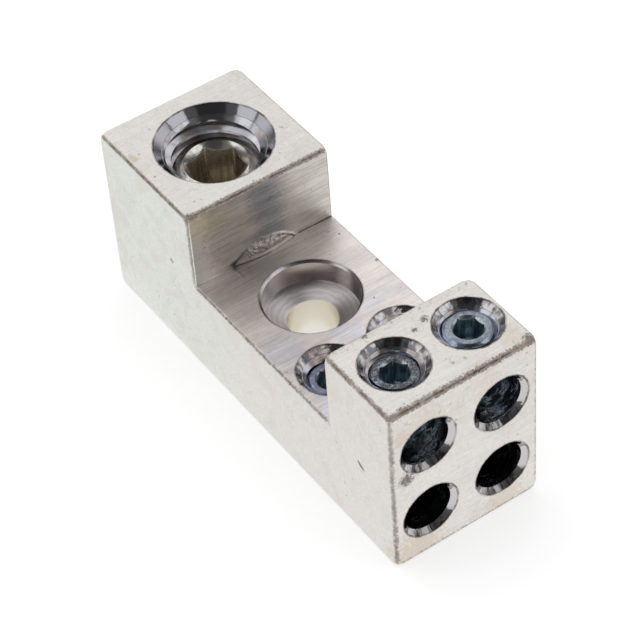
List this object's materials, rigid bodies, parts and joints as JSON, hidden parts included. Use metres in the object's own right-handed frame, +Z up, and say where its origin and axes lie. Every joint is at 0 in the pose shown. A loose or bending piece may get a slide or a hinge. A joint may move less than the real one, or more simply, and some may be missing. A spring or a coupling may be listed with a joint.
{
  "type": "splicer block",
  "caption": "Stepped metal wire splicer block with a large wire bore at one end, small wire bores at the other, socket set screws over each bore and a counterbored mounting hole in the low web.",
  "frame": {"origin": "middle of the underside, which is the bottom centre of the whole part", "axes": "+X along the bar, from the end that takes the main wire to the end that takes the branch wires; +Y across the bar; +Z up out of the mounting hole and the screws' faces"},
  "size_m": [0.0376, 0.0126, 0.0156],
  "materials": {
    "plated_block": "tin-plated aluminium, faintly brushed across the bar, with worn grey-brown edges",
    "main_screw_metal": "bright turned metal",
    "zinc_screw_metal": "blue-white zinc plating"
  },
  "bodies": {
    "block": {"block_body": "plated_block"},
    "main_clamp": {"main_screw": "main_screw_metal"},
    "upper_clamp_left": {"upper_screw_left": "zinc_screw_metal"},
    "upper_clamp_right": {"upper_screw_right": "zinc_screw_metal"},
    "lower_clamp_left": {"lower_screw_left": "zinc_screw_metal"},
    "lower_clamp_right": {"lower_screw_right": "zinc_screw_metal"}
  },
  "joints": [
    {"name": "main_screw_travel", "type": "slide", "parent": "block", "child": "main_clamp", "axis": [0, 0, 1], "range_m": [-0.00212, 0.00529]},
    {"name": "upper_left_screw_travel", "type": "slide", "parent": "block", "child": "upper_clamp_left", "axis": [0, 0, 1], "range_m": [-0.00079, 0.00238]},
    {"name": "upper_right_screw_travel", "type": "slide", "parent": "block", "child": "upper_clamp_right", "axis": [0, 0, 1], "range_m": [-0.00079, 0.00238]},
    {"name": "lower_left_screw_travel", "type": "slide", "parent": "block", "child": "lower_clamp_left", "axis": [0, 0, 1], "range_m": [-0.00079, 0.00238]},
    {"name": "lower_right_screw_travel", "type": "slide", "parent": "block", "child": "lower_clamp_right", "axis": [0, 0, 1], "range_m": [-0.00079, 0.00238]}
  ]
}
